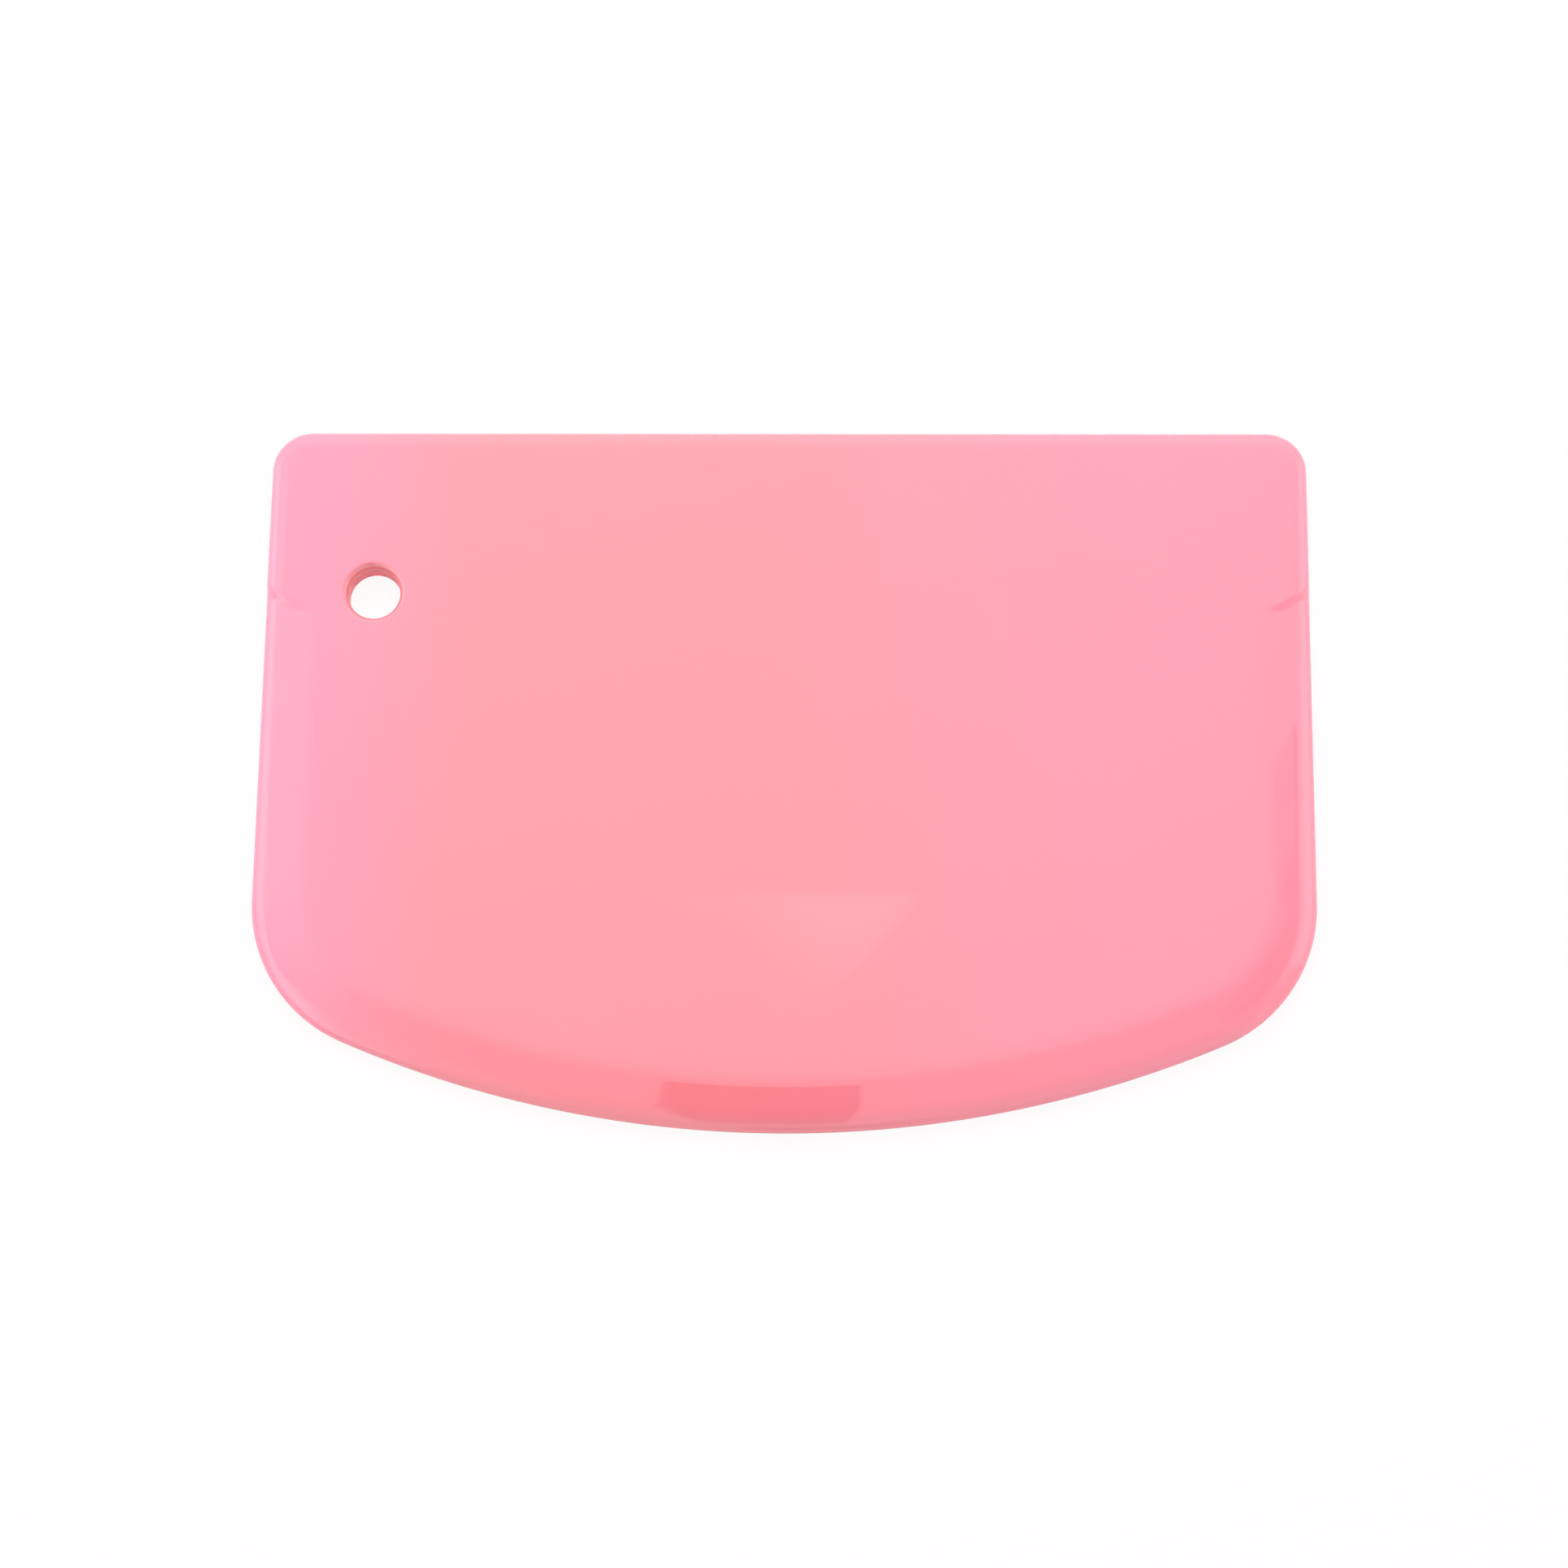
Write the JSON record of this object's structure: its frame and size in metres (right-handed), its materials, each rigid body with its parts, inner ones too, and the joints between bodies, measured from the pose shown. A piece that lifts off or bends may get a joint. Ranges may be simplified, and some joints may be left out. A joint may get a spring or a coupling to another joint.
{
  "type": "dough scraper",
  "caption": "Thin flexible plate with a straight grip edge, a curved bevelled scraping edge and a hanging hole, for dough and bowls.",
  "frame": {"origin": "middle of the bounding box at the flat back face, which the part lies on", "axes": "+X along the straight grip edge, +Y from the curved scraping edge to the straight edge, +Z out of the bevelled front face; the hanging hole is at the -X end"},
  "size_m": [0.125, 0.0854, 0.004],
  "materials": {
    "plastic": "glossy moulded plastic, salmon pink, slightly translucent"
  },
  "bodies": {
    "root": {"scraper_plate": "plastic"}
  },
  "joints": []
}
